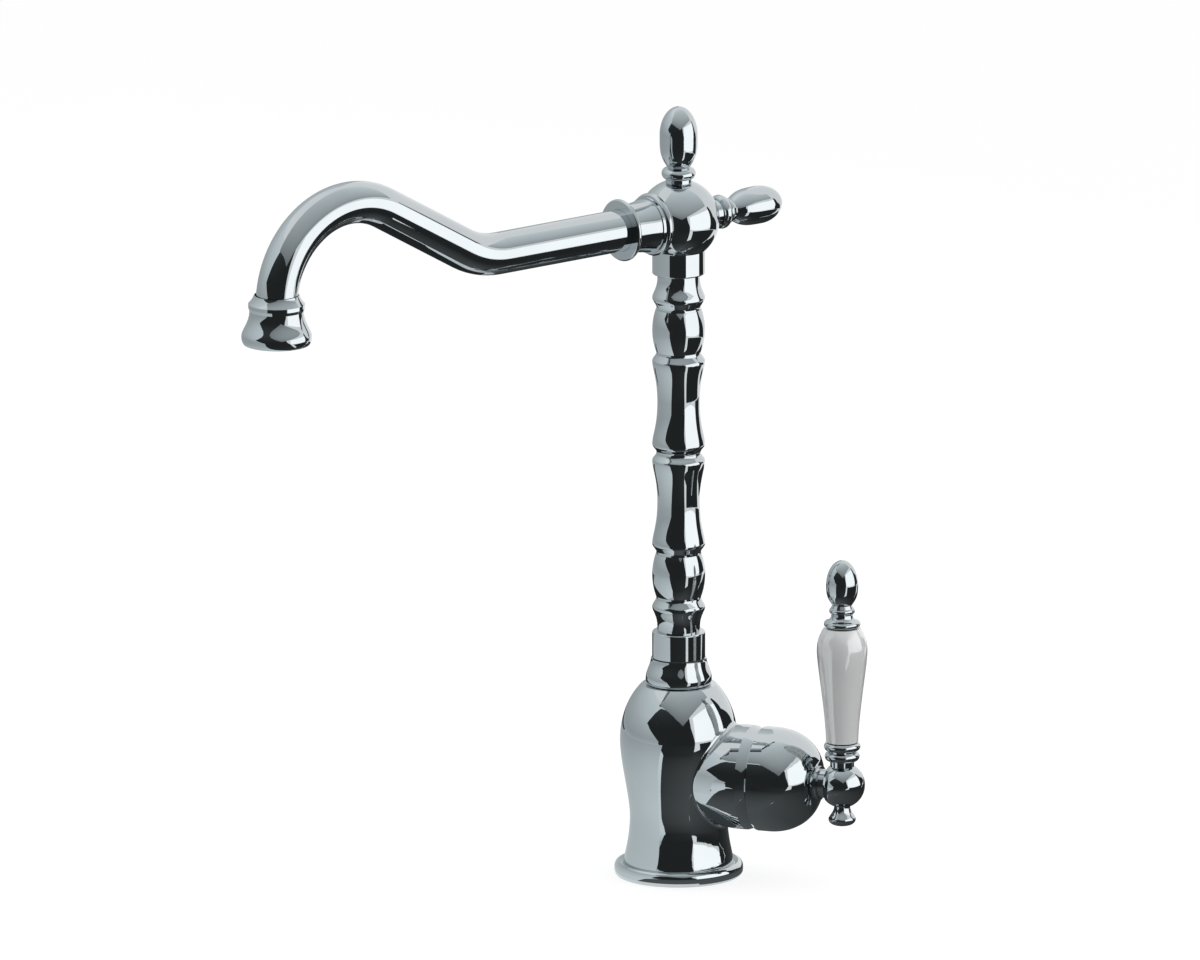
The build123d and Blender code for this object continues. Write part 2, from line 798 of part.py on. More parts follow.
# Two ringed olive finials on the head: one upright, and a longer one to the rear
top_finial_sizes = (
    (finial_base_radius, finial_base_length),
    ((finial_ring_radius, finial_ring_length),),
    (finial_neck_radius, finial_neck_length),
    (finial_olive_radius, finial_olive_rise),
    finial_olive_tip,
)
rear_finial_sizes = (
    (finial_base_radius, rear_base_length),
    ((finial_ring_radius, rear_ring_length), (rear_small_ring_radius, rear_small_ring_length)),
    (rear_neck_radius, rear_neck_length),
    (finial_olive_radius, rear_olive_rise),
    rear_olive_tip,
)
top_side = Plane(origin=head_centre, x_dir=(-1, 0, 0), z_dir=(0, 1, 0))
with BuildPart() as top_finial:
    revolve(finial_outline(top_side, finial_seat, *top_finial_sizes), axis=Axis.Z)
    with BuildSketch(Plane.XY.offset(head_height + finial_seat - finial_stud_length)):
        Circle(finial_stud_radius)
    extrude(amount=finial_stud_length)
top_finial.part.label = "top_finial"
export_step(top_finial.part, "parts/top_finial.step")

with BuildPart() as rear_finial:
    revolve(finial_outline(rear_side, finial_seat, *rear_finial_sizes), axis=spout_axis)
    with BuildSketch(spout_face.offset(-finial_seat)):
        Circle(finial_stud_radius)
    extrude(amount=finial_stud_length)
rear_finial.part.label = "rear_finial"
export_step(rear_finial.part, "parts/rear_finial.step")

# Spout collar: bead and step against the ball, flared neck and thin flange
collar_step = collar_seat + collar_bead_length
collar_neck_foot = collar_step + collar_step_length
flange_foot = collar_neck_foot + collar_neck_length
flange_end = flange_foot + flange_length
seal_seat = tube_seat - spout_seal_thickness
bead_edge_radius = collar_bead_radius - collar_bead_crown
collar_neck_flare_radius = (2 * collar_neck_start_radius + collar_neck_end_radius) / 3
flange_edge_radius = flange_radius - flange_crown
with BuildPart() as spout_collar:
    with BuildSketch(spout_side):
        with BuildLine():
            Polyline(
                (collar_seat, bead_edge_radius),
                (collar_seat, 0),
                (flange_end, 0),
                (flange_end, flange_edge_radius),
            )
            ThreePointArc(
                (flange_end, flange_edge_radius),
                (flange_end - flange_length / 2, flange_radius),
                (flange_foot, flange_edge_radius),
            )
            Line((flange_foot, flange_edge_radius), (flange_foot, collar_neck_end_radius))
            Bezier(
                (flange_foot, collar_neck_end_radius),
                (flange_foot - collar_neck_length * 0.6, collar_neck_end_radius),
                (collar_neck_foot + collar_neck_length * 0.2, collar_neck_flare_radius),
                (collar_neck_foot, collar_neck_start_radius),
            )
            Polyline(
                (collar_neck_foot, collar_neck_start_radius),
                (collar_neck_foot, collar_step_radius),
                (collar_step, collar_step_radius),
                (collar_step, bead_edge_radius),
            )
            ThreePointArc(
                (collar_step, bead_edge_radius),
                (collar_seat + collar_bead_length / 2, collar_bead_radius),
                (collar_seat, bead_edge_radius),
            )
        make_face()
    revolve(axis=spout_axis)
    with BuildSketch(spout_face.offset(collar_seat - spout_stud_length)):
        Circle(spout_stud_radius)
    extrude(amount=spout_stud_length)
    with BuildSketch(spout_face.offset(collar_seat - spout_stud_length)):
        Circle(head_bore_radius)
    extrude(amount=flange_end - collar_seat + spout_stud_length, mode=Mode.SUBTRACT)
    with BuildSketch(spout_face.offset(seal_seat)):
        Circle(tube_radius + screw_clearance)
    extrude(amount=flange_end - seal_seat, mode=Mode.SUBTRACT)
spout_collar.part.label = "spout_collar"
export_step(spout_collar.part, "parts/spout_collar.step")

with BuildPart() as spout_seal:
    with BuildSketch(spout_face.offset(seal_seat)):
        Circle(tube_radius)
        Circle(tube_bore_radius, mode=Mode.SUBTRACT)
    extrude(amount=spout_seal_thickness)
spout_seal.part.label = "spout_seal"
export_step(spout_seal.part, "parts/spout_seal.step")

# Spout tube: level run, upward bend, gooseneck and short drop into the outlet
tube_end = tube_end_height - outlet_drop_height
gooseneck_tangent = gooseneck_radius * tan(radians((90 + rise_angle) / 2))
gooseneck_corner = tube_end + gooseneck_straight + gooseneck_tangent
bend_corner = spout_reach - gooseneck_corner / tan(radians(rise_angle))
with BuildPart() as spout_tube:
    with BuildLine(spout_side) as spout_path:
        FilletPolyline(
            (tube_seat, 0),
            (bend_corner, 0),
            (spout_reach, gooseneck_corner),
            (spout_reach, tube_end),
            radius=[bend_radius, gooseneck_radius],
        )
    with BuildSketch(spout_face.offset(tube_seat)):
        Circle(tube_radius)
    sweep(path=spout_path.wire())
    with BuildSketch(spout_face.offset(tube_seat)):
        Circle(tube_bore_radius)
    sweep(path=spout_path.wire(), mode=Mode.SUBTRACT)
spout_tube.part.label = "spout_tube"
export_step(spout_tube.part, "parts/spout_tube.step")

# Flared outlet bell
outlet_top_bore = tube_radius + outlet_gap
outlet_top_radius = outlet_top_bore + outlet_top_wall
cone_foot = outlet_height - outlet_cone_height
band_foot = cone_foot - outlet_band_height
outlet_waist = band_foot - outlet_waist_height
aerator_foot = aerator_recess
aerator_top = aerator_foot + aerator_height
aerator_ceiling = aerator_top + aerator_seal_thickness
with BuildPart() as outlet_bell:
    with BuildSketch(outlet_side):
        with BuildLine():
            Polyline(
                (outlet_rim_radius, 0),
                (0, 0),
                (0, outlet_height),
                (outlet_top_radius, outlet_height),
            )
            Bezier(
                (outlet_top_radius, outlet_height),
                (outlet_top_radius + outlet_cone_hollow, outlet_height - outlet_cone_height / 2),
                (outlet_cone_radius, cone_foot),
            )
            Line((outlet_cone_radius, cone_foot), (outlet_cone_radius, band_foot))
            Line((outlet_cone_radius, band_foot), (outlet_waist_radius, outlet_waist))
            smooth_run(
                (outlet_waist_radius, outlet_waist),
                (outlet_lip_radius, outlet_lip_height),
                start_pull=0.5,
                end_pull=0.25,
            )
            Bezier(
                (outlet_lip_radius, outlet_lip_height),
                (outlet_lip_radius, outlet_lip_height * 0.3),
                (outlet_rim_radius + outlet_rim_round, 0),
                (outlet_rim_radius, 0),
            )
        make_face()
    revolve(axis=outlet_axis)
    with BuildSketch(outlet_foot):
        Circle(aerator_radius + screw_clearance)
    extrude(amount=aerator_ceiling, mode=Mode.SUBTRACT)
    with BuildSketch(outlet_foot):
        Circle(tube_stop_radius)
    extrude(amount=tube_end_height, mode=Mode.SUBTRACT)
    with BuildSketch(outlet_foot.offset(tube_end_height)):
        Circle(outlet_top_bore)
    extrude(amount=outlet_height - tube_end_height, mode=Mode.SUBTRACT)
outlet_bell.part.label = "outlet_bell"
export_step(outlet_bell.part, "parts/outlet_bell.step")

# Aerator: seal, cage and perforated screen
with BuildPart() as aerator_seal:
    with BuildSketch(outlet_foot.offset(aerator_top)):
        Circle(aerator_radius)
        Circle(tube_stop_radius, mode=Mode.SUBTRACT)
    extrude(amount=aerator_seal_thickness)
aerator_seal.part.label = "aerator_seal"
export_step(aerator_seal.part, "parts/aerator_seal.step")

aerator_bore_radius = aerator_radius - aerator_wall
with BuildPart() as aerator_body:
    with BuildSketch(outlet_foot.offset(aerator_foot)):
        Circle(aerator_radius)
        Circle(aerator_bore_radius - aerator_lip, mode=Mode.SUBTRACT)
    extrude(amount=aerator_lip)
    with BuildSketch(outlet_foot.offset(aerator_foot + aerator_lip)):
        Circle(aerator_radius)
        Circle(aerator_bore_radius, mode=Mode.SUBTRACT)
    extrude(amount=aerator_height - aerator_lip)
aerator_body.part.label = "aerator_body"
export_step(aerator_body.part, "parts/aerator_body.step")

with BuildPart() as aerator_screen:
    with BuildSketch(outlet_foot.offset(aerator_foot + aerator_lip)):
        Circle(aerator_bore_radius - screw_clearance)
        Circle(screen_hole_radius, mode=Mode.SUBTRACT)
        for ring_number in range(1, screen_hole_rings + 1):
            with PolarLocations(ring_number * screen_hole_pitch, 6 * ring_number):
                Circle(screen_hole_radius, mode=Mode.SUBTRACT)
    extrude(amount=screen_thickness)
aerator_screen.part.label = "aerator_screen"
export_step(aerator_screen.part, "parts/aerator_screen.step")

# Ported base of the cartridge, with grooves for three sealing rings
port_ring_middles = [port[2] + port_ring_gap + port_ring_section / 2 for port in ports]
groove_half_width = port_ring_section * groove_room / 2
groove_depth = port_ring_section + 2 * seal_clearance
with BuildPart() as cartridge_base:
    with BuildSketch(boss_face.offset(cartridge_seat)):
        Circle(housing_radius)
        for port_y, port_z, port_radius in ports:
            with Locations((port_y, port_z)):
                Circle(port_radius, mode=Mode.SUBTRACT)
    extrude(amount=base_thickness)
    for (port_y, port_z, port_radius), middle in zip(ports, port_ring_middles):
        with BuildSketch(boss_face.offset(cartridge_seat)):
            with Locations((port_y, port_z)):
                Circle(middle + groove_half_width)
                Circle(middle - groove_half_width, mode=Mode.SUBTRACT)
        extrude(amount=groove_depth, mode=Mode.SUBTRACT)
cartridge_base.part.label = "cartridge_base"
export_step(cartridge_base.part, "parts/cartridge_base.step")

with BuildPart() as port_seals:
    for (port_y, port_z, port_radius), middle in zip(ports, port_ring_middles):
        seal_place = cartridge_seat + seal_clearance + port_ring_section / 2
        with Locations(Location((seal_place, port_y, boss_height + port_z), (0, 90, 0))):
            Torus(middle, port_ring_section / 2)
port_seals.part.label = "port_seals"
export_step(port_seals.part, "parts/port_seals.step")

# Cartridge case: it guides the turret and carries the nut on its shoulder
turret_bore_radius = turret_radius + running_clearance
nut_bore_radius = housing_radius - nut_seat_width
with BuildPart() as cartridge_housing:
    with BuildSketch(boss_face.offset(base_end)):
        Circle(housing_radius)
    extrude(amount=nut_seat - base_end)
    with BuildSketch(boss_face.offset(nut_seat)):
        Circle(nut_bore_radius - screw_clearance)
    extrude(amount=nut_length)
    with BuildSketch(boss_face.offset(base_end)):
        Circle(housing_bore_radius)
    extrude(amount=housing_step - base_end, mode=Mode.SUBTRACT)
    with BuildSketch(boss_face.offset(housing_step)):
        Circle(turret_bore_radius)
    extrude(amount=turret_end - housing_step, mode=Mode.SUBTRACT)
cartridge_housing.part.label = "cartridge_housing"
export_step(cartridge_housing.part, "parts/cartridge_housing.step")

with BuildPart() as fixed_disc:
    with BuildSketch(boss_face.offset(base_end)):
        Circle(fixed_disc_radius)
        for port_y, port_z, port_radius in ports:
            with Locations((port_y, port_z)):
                Circle(port_radius, mode=Mode.SUBTRACT)
    extrude(amount=disc_thickness)
fixed_disc.part.label = "fixed_disc"
export_step(fixed_disc.part, "parts/fixed_disc.step")

# Ring nut with four notches for the spanner
with BuildPart() as cartridge_nut:
    with BuildSketch(boss_face.offset(nut_seat)):
        Circle(nut_radius)
        Circle(nut_bore_radius, mode=Mode.SUBTRACT)
    extrude(amount=nut_length)
    with BuildSketch(boss_face.offset(nut_seat + nut_length / 2)):
        with PolarLocations((nut_radius + nut_bore_radius) / 2, 4):
            Rectangle(nut_radius - nut_bore_radius + nut_notch_width, nut_notch_width)
    extrude(amount=nut_length / 2, mode=Mode.SUBTRACT)
cartridge_nut.part.label = "cartridge_nut"
export_step(cartridge_nut.part, "parts/cartridge_nut.step")

# Sliding disc with the mixing pocket, and its carrier, both in the closed place
with BuildPart() as moving_disc:
    with BuildSketch(boss_face.offset(moving_disc_foot)):
        with Locations((0, disc_offset)):
            Circle(moving_disc_radius)
    extrude(amount=disc_thickness)
    with BuildSketch(boss_face.offset(moving_disc_foot)):
        with Locations((0, pocket_top - pocket_height / 2)):
            RectangleRounded(pocket_width, pocket_height, pocket_height / 3)
    extrude(amount=pocket_depth, mode=Mode.SUBTRACT)
moving_disc.part.label = "moving_disc"
export_step(moving_disc.part, "parts/moving_disc.step")

with BuildPart() as disc_carrier:
    with BuildSketch(boss_face.offset(carrier_foot)):
        with Locations((0, disc_offset)):
            Circle(carrier_radius)
        Circle(carrier_hole_radius, mode=Mode.SUBTRACT)
    extrude(amount=carrier_thickness)
disc_carrier.part.label = "disc_carrier"
export_step(disc_carrier.part, "parts/disc_carrier.step")

# Turret that turns in the case, slotted for the tilting stem
pivot_face = Plane(origin=(pivot_place, 0, boss_height), x_dir=(1, 0, 0), z_dir=(0, -1, 0))
with BuildPart() as stem_turret:
    with BuildSketch(boss_face.offset(turret_foot)):
        Circle(turret_flange_radius)
    extrude(amount=turret_flange_length)
    with BuildSketch(boss_face.offset(turret_step)):
        Circle(turret_radius)
    extrude(amount=turret_end - turret_step)
    with BuildSketch(boss_face.offset(turret_foot)):
        with Locations((0, (slot_high - slot_low) / 2)):
            Rectangle(stem_width + 2 * slot_side_clearance, slot_high + slot_low)
    extrude(amount=turret_end - turret_foot, mode=Mode.SUBTRACT)
    with BuildSketch(pivot_face):
        Circle(pivot_radius + face_gap)
    extrude(amount=pivot_half_length, both=True, mode=Mode.SUBTRACT)
stem_turret.part.label = "stem_turret"
export_step(stem_turret.part, "parts/stem_turret.step")

with BuildPart() as pivot_pin:
    with BuildSketch(pivot_face):
        Circle(pivot_radius)
    extrude(amount=pivot_half_length, both=True)
pivot_pin.part.label = "pivot_pin"
export_step(pivot_pin.part, "parts/pivot_pin.step")

# Cover on the turret: a slotted dome that closes the boss where the lever's dome tilts away from it
cover_radius = dome_sweep_radius - cover_dome_clearance
cover_inner_radius = cover_radius - cover_wall
cup_radius = nut_radius - cover_bore_clearance
cup_inner_radius = cup_radius - cover_wall
cover_foot = boss_end + cover_seam
cover_foot_radius = sqrt(cover_radius**2 - (cover_foot - pivot_place) ** 2)
cover_mid_radius = (cover_foot_radius + cover_opening_radius) / 2
cover_end = pivot_place + sqrt(cover_radius**2 - cover_opening_radius**2)
cover_mid = pivot_place + sqrt(cover_radius**2 - cover_mid_radius**2)
cover_inner_end = pivot_place + sqrt(cover_inner_radius**2 - cover_opening_radius**2)
cover_inner_mid = pivot_place + sqrt(cover_inner_radius**2 - cover_mid_radius**2)
cup_end = pivot_place + sqrt(cover_inner_radius**2 - cup_inner_radius**2)
with BuildPart() as cartridge_cover:
    with BuildSketch(boss_side):
        with BuildLine():
            Polyline(
                (cup_end, cup_inner_radius),
                (turret_end + cover_wall, cup_inner_radius),
                (turret_end + cover_wall, cover_bore_radius),
                (turret_end, cover_bore_radius),
                (turret_end, cup_radius),
                (cover_foot, cup_radius),
                (cover_foot, cover_foot_radius),
            )
            ThreePointArc(
                (cover_foot, cover_foot_radius),
                (cover_mid, cover_mid_radius),
                (cover_end, cover_opening_radius),
            )
            Line((cover_end, cover_opening_radius), (cover_inner_end, cover_opening_radius))
            ThreePointArc(
                (cover_inner_end, cover_opening_radius),
                (cover_inner_mid, cover_mid_radius),
                (cup_end, cup_inner_radius),
            )
        make_face()
    revolve(axis=boss_axis)
    with BuildSketch(boss_face.offset(cup_end)):
        with Locations((0, -cover_radius / 2)):
            Rectangle(2 * (hub_radius + cover_slot_clearance), cover_radius)
    extrude(amount=cover_radius, mode=Mode.SUBTRACT)
cartridge_cover.part.label = "cartridge_cover"
export_step(cartridge_cover.part, "parts/cartridge_cover.step")

# Stem: square bar on the pivot, with a round finger that drives the carrier
finger_foot = carrier_foot + finger_gap
stem_foot = pivot_place - stem_inner_reach
with BuildPart() as cartridge_stem:
    with BuildSketch(boss_face.offset(stem_foot)):
        Rectangle(stem_width, stem_width)
    extrude(amount=stem_end - stem_foot)
    with BuildSketch(boss_face.offset(finger_foot)):
        Circle(finger_radius)
    extrude(amount=stem_foot - finger_foot)
    with BuildSketch(pivot_face):
        Circle(pivot_radius + running_clearance)
    extrude(amount=stem_width, both=True, mode=Mode.SUBTRACT)
cartridge_stem.part.label = "cartridge_stem"
export_step(cartridge_stem.part, "parts/cartridge_stem.step")

# Domed lever hub: hollow rim that swings over the boss, with a square socket for the stem
rim_inner_radius = sqrt(dome_sweep_radius**2 - (dome_rim - pivot_place) ** 2)
hub_root = pivot_place + sqrt(dome_sweep_radius**2 - hub_radius**2)
cavity_mid = (dome_rim + hub_root) / 2
cavity_mid_radius = sqrt(dome_sweep_radius**2 - (cavity_mid - pivot_place) ** 2)
grub_plane = Plane(origin=(grub_place, 0, boss_height), x_dir=(1, 0, 0), z_dir=(0, 0, -1))
with BuildPart() as lever_dome:
    with BuildSketch(boss_side):
        with BuildLine():
            Polyline(
                (dome_end, dome_end_radius),
                (dome_end, 0),
                (hub_face, 0),
                (hub_face, hub_radius),
                (hub_root, hub_radius),
            )
            ThreePointArc(
                (hub_root, hub_radius),
                (cavity_mid, cavity_mid_radius),
                (dome_rim, rim_inner_radius),
            )
            Polyline((dome_rim, rim_inner_radius), (dome_rim, dome_radius), (dome_shoulder, dome_radius))
            Bezier(
                (dome_shoulder, dome_radius),
                (dome_shoulder + dome_round_reach, dome_radius),
                (dome_end - dome_round_lean, dome_end_radius + dome_round_fall),
                (dome_end, dome_end_radius),
            )
        make_face()
    revolve(axis=boss_axis)
    with BuildSketch(boss_face.offset(hub_face)):
        Rectangle(stem_width + 2 * stem_socket_gap, stem_width + 2 * stem_socket_gap)
    extrude(amount=stem_end - hub_face + stem_socket_gap, mode=Mode.SUBTRACT)
    with BuildSketch(boss_face.offset(dome_end - neck_stud_length - face_gap)):
        Circle(neck_stud_radius + screw_clearance)
    extrude(amount=neck_stud_length + face_gap, mode=Mode.SUBTRACT)
    with BuildSketch(grub_plane):
        Circle(grub_radius + screw_clearance)
    extrude(amount=dome_radius, mode=Mode.SUBTRACT)
lever_dome.part.label = "lever_dome"
export_step(lever_dome.part, "parts/lever_dome.step")

# Grub screw with a hexagon socket, flush under the dome
grub_tip = stem_width / 2 + face_gap
grub_head = dome_radius - grub_recess
with BuildPart() as dome_grub_screw:
    with BuildSketch(grub_plane.offset(grub_tip)):
        Circle(grub_radius)
    extrude(amount=grub_head - grub_tip)
    with BuildSketch(grub_plane.offset(grub_head - grub_key_depth)):
        RegularPolygon(grub_key / 2, 6, major_radius=False)
    extrude(amount=grub_key_depth, mode=Mode.SUBTRACT)
dome_grub_screw.part.label = "dome_grub_screw"
export_step(dome_grub_screw.part, "parts/dome_grub_screw.step")

# Neck with its flange and two screwed studs
with BuildPart() as lever_neck:
    with BuildSketch(boss_face.offset(dome_end - neck_stud_length)):
        Circle(neck_stud_radius)
    extrude(amount=neck_end + neck_tip_length - dome_end + neck_stud_length)
    with BuildSketch(boss_face.offset(dome_end)):
        Circle(neck_flange_radius)
    extrude(amount=neck_flange_length)
    with BuildSketch(boss_face.offset(neck_start)):
        Circle(neck_radius)
    extrude(amount=neck_length)
lever_neck.part.label = "lever_neck"
export_step(lever_neck.part, "parts/lever_neck.step")

# Lever ball with flats for the neck, the ferrule and the bottom finial
with BuildPart() as lever_ball:
    with Locations((lever_place, 0, boss_height)):
        Sphere(lever_ball_radius)
    with BuildSketch(boss_face.offset(neck_end - lever_ball_radius)):
        Circle(lever_ball_radius)
    extrude(amount=lever_ball_radius, mode=Mode.SUBTRACT)
    with BuildSketch(lever_foot.offset(ferrule_seat), lever_foot.offset(bottom_seat - lever_ball_radius)):
        Circle(lever_ball_radius)
    extrude(amount=lever_ball_radius, mode=Mode.SUBTRACT)
    with BuildSketch(boss_face.offset(neck_end)):
        Circle(neck_stud_radius + screw_clearance)
    extrude(amount=neck_tip_length + face_gap, mode=Mode.SUBTRACT)
    with BuildSketch(lever_foot.offset(rod_foot)):
        Circle(rod_radius + screw_clearance)
    extrude(amount=ferrule_seat - rod_foot, mode=Mode.SUBTRACT)
    with BuildSketch(lever_foot.offset(bottom_seat)):
        Circle(bottom_stud_radius + screw_clearance)
    extrude(amount=bottom_stud_length + face_gap, mode=Mode.SUBTRACT)
lever_ball.part.label = "lever_ball"
export_step(lever_ball.part, "parts/lever_ball.step")

# Mushroom finial under the ball
mushroom_foot = bottom_seat - bottom_neck_length
mushroom_tip = mushroom_foot - bottom_mushroom_length
mushroom_widest = (mushroom_foot + mushroom_tip) / 2
with BuildPart() as bottom_finial:
    with BuildSketch(lever_side):
        with BuildLine():
            Polyline((0, bottom_seat), (bottom_base_radius, bottom_seat))
            smooth_run(
                (bottom_base_radius, bottom_seat),
                (bottom_mushroom_radius, mushroom_widest),
                start_pull=0.5,
                end_pull=0.2,
            )
            Bezier(
                (bottom_mushroom_radius, mushroom_widest),
                (bottom_mushroom_radius, mushroom_tip + bottom_mushroom_length * 0.1),
                (bottom_mushroom_radius * 0.5, mushroom_tip),
                (0, mushroom_tip),
            )
            Line((0, mushroom_tip), (0, bottom_seat))
        make_face()
    revolve(axis=lever_axis)
    with BuildSketch(lever_foot.offset(bottom_seat)):
        Circle(bottom_stud_radius)
    extrude(amount=bottom_stud_length)
bottom_finial.part.label = "bottom_finial"
export_step(bottom_finial.part, "parts/bottom_finial.step")

# Ringed ferrule between the ball and the porcelain
rod_bore_radius = rod_radius + screw_clearance
ferrule_bead_radius = ferrule_ring_radius - ferrule_ring_length * bead_crown
flange_bead_radius = ferrule_flange_radius - ferrule_flange_length * bead_crown
with BuildPart() as lever_ferrule:
    with BuildSketch(lever_side):
        with BuildLine():
            Polyline(
                (rod_bore_radius, ferrule_top),
                (rod_bore_radius, ferrule_seat),
                (ferrule_neck_radius, ferrule_seat),
                (ferrule_neck_radius, ferrule_ring_foot),
                (ferrule_bead_radius, ferrule_ring_foot),
            )
            ThreePointArc(
                (ferrule_bead_radius, ferrule_ring_foot),
                (ferrule_ring_radius, ferrule_ring_foot + ferrule_ring_length / 2),
                (ferrule_bead_radius, ferrule_groove_foot),
            )
            Polyline(
                (ferrule_bead_radius, ferrule_groove_foot),
                (ferrule_groove_radius, ferrule_groove_foot),
                (ferrule_groove_radius, ferrule_flange_foot),
                (flange_bead_radius, ferrule_flange_foot),
            )
            ThreePointArc(
                (flange_bead_radius, ferrule_flange_foot),
                (ferrule_flange_radius, ferrule_flange_foot + ferrule_flange_length / 2),
                (flange_bead_radius, ferrule_top),
            )
            Line((flange_bead_radius, ferrule_top), (rod_bore_radius, ferrule_top))
        make_face()
    revolve(axis=lever_axis)
lever_ferrule.part.label = "lever_ferrule"
export_step(lever_ferrule.part, "parts/lever_ferrule.step")

with BuildPart() as lower_cushion:
    with BuildSketch(lever_foot.offset(ferrule_top)):
        Circle(cushion_radius)
        Circle(handle_bore_radius, mode=Mode.SUBTRACT)
    extrude(amount=cushion_thickness)
lower_cushion.part.label = "lower_cushion"
export_step(lower_cushion.part, "parts/lower_cushion.step")

# Porcelain handle: slender foot, swell near the top and a round shoulder
swell_place = handle_foot + handle_swell_height
shoulder_fall = handle_top - swell_place
with BuildPart() as porcelain_handle:
    with BuildSketch(lever_side):
        with BuildLine():
            Polyline(
                (handle_top_radius, handle_top),
                (handle_bore_radius, handle_top),
                (handle_bore_radius, handle_foot),
                (handle_foot_radius, handle_foot),
            )
            Bezier(
                (handle_foot_radius, handle_foot),
                (handle_foot_radius + handle_foot_spread, handle_foot + handle_swell_height * 0.35),
                (handle_swell_radius, swell_place - handle_swell_height * 0.15),
                (handle_swell_radius, swell_place),
            )
            Bezier(
                (handle_swell_radius, swell_place),
                (handle_swell_radius, swell_place + shoulder_fall * 0.5),
                (handle_top_radius + handle_shoulder_spread, handle_top - shoulder_fall * 0.24),
                (handle_top_radius, handle_top),
            )
        make_face()
    revolve(axis=lever_axis)
porcelain_handle.part.label = "porcelain_handle"
export_step(porcelain_handle.part, "parts/porcelain_handle.step")

with BuildPart() as upper_cushion:
    with BuildSketch(lever_foot.offset(handle_top)):
        Circle(cushion_radius)
        Circle(handle_bore_radius, mode=Mode.SUBTRACT)
    extrude(amount=cushion_thickness)
upper_cushion.part.label = "upper_cushion"
export_step(upper_cushion.part, "parts/upper_cushion.step")

# Cap disc with a cone, and the finial that screws on the rod
cap_edge_radius = cap_disc_radius - cap_disc_length * bead_crown
with BuildPart() as handle_cap:
    with BuildSketch(lever_side):
        with BuildLine():
            Polyline((rod_bore_radius, cap_top), (rod_bore_radius, cap_foot), (cap_edge_radius, cap_foot))
            ThreePointArc(
                (cap_edge_radius, cap_foot),
                (cap_disc_radius, cap_foot + cap_disc_length / 2),
                (cap_edge_radius, cap_foot + cap_disc_length),
            )
            Bezier(
                (cap_edge_radius, cap_foot + cap_disc_length),
                (cap_top_radius, cap_foot + cap_disc_length + cap_cone_length * 0.2),
                (cap_top_radius, cap_top),
            )
            Line((cap_top_radius, cap_top), (rod_bore_radius, cap_top))
        make_face()
    revolve(axis=lever_axis)
handle_cap.part.label = "handle_cap"
export_step(handle_cap.part, "parts/handle_cap.step")

with BuildPart() as handle_finial:
    revolve(
        finial_outline(
            lever_side,
            cap_top,
            (handle_finial_base_radius, handle_finial_base_length),
            ((handle_finial_ring_radius, handle_finial_ring_length),),
            (handle_finial_neck_radius, handle_finial_neck_length),
            (handle_finial_olive_radius, handle_finial_olive_rise),
            handle_finial_olive_tip,
        ),
        axis=lever_axis,
    )
    with BuildSketch(lever_foot.offset(cap_top)):
        Circle(rod_radius + screw_clearance)
    extrude(amount=rod_engagement + face_gap, mode=Mode.SUBTRACT)
handle_finial.part.label = "handle_finial"
export_step(handle_finial.part, "parts/handle_finial.step")

with BuildPart() as handle_rod:
    with BuildSketch(lever_foot.offset(rod_foot)):
        Circle(rod_radius)
    extrude(amount=cap_top + rod_engagement - rod_foot)
handle_rod.part.label = "handle_rod"
export_step(handle_rod.part, "parts/handle_rod.step")
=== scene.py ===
from math import cos, pi, radians, sin

import bpy
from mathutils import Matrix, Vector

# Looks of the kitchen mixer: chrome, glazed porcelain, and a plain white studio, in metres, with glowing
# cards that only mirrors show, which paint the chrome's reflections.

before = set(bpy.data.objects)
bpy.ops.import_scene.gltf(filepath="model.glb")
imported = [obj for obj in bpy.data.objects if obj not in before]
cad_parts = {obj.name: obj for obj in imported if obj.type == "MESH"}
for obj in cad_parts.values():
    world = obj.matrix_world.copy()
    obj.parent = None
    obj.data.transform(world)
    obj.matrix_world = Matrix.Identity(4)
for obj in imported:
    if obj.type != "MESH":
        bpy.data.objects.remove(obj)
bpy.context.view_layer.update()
scene = bpy.context.scene
scene.view_settings.view_transform = "Standard"

# Camera at the photograph's angle
camera_turn = 20.0  # degrees to the right of straight ahead
camera_rise = 13.5  # degrees above the level
camera_target = Vector((-0.04465, 0.02519, 0.1622))
camera_distance = 3.0
frame_width = 0.5085

# Light levels
fill_level = 0.6  # of the white surroundings, for matt surfaces
floor_glow = 0.76
floor_tone = 0.38
key_radiance = 1.4
rim_radiance = 1.1
side_radiance = 0.9
# Tones of glowing cards that only mirrors show: a painted highlight of the key box, and painted
# reflections, dark and pale, of the studio
key_highlight_tone = 1.59  # of the key soft box, seen in mirrors
key_highlight_tint = (1.0, 1.0, 1.0)
reflection_card_tint = (0.93, 1.0, 1.02)
dark_reflection_tone = 0.026

# Soft boxes: degrees to the right of the camera, distance, height, and their width and height
key_place = (66, 0.75, 0.29, (1.0, 0.54))
rim_place = (145, 1.1, 0.4, (0.9, 0.7))
side_place = (-105, 0.9, 0.4, (0.8, 0.8))

# Studio surfaces: the floor, and glowing cards that only mirrors show, which paint reflections
floor_half = 8.0
# Lift above the floor of the dark cards that paint reflections
reflection_card_lift = 0.0004  # of the dark flags above the floor
left_lift = reflection_card_lift / 2
left_start = -180  # degrees to the right of the camera
left_end = -25
spout_start = -165
spout_end = -46
low_card_distance = 0.075
edge_distance = 0.76
front_distance = 1.6
wall_distance = 1.9
ceiling_height = 0.604
arc_steps = 24
kite_steps = 12
bow_power = 2.2

# Part of a noise's range that carries its change of tone
noise_low = 0.3
noise_high = 0.7

# Directions of the studio, seen from the column: right of the camera, and towards it
studio_right = Vector((cos(radians(camera_turn)), sin(radians(camera_turn)), 0))
studio_front = Vector((sin(radians(camera_turn)), -cos(radians(camera_turn)), 0))


def studio_point(turn, distance, height):
    """A point at an angle to the right of the camera, a distance from the column and a height."""
    across = studio_right * (sin(radians(turn)) * distance)
    ahead = studio_front * (cos(radians(turn)) * distance)
    return across + ahead + Vector((0, 0, height))


# Finishes

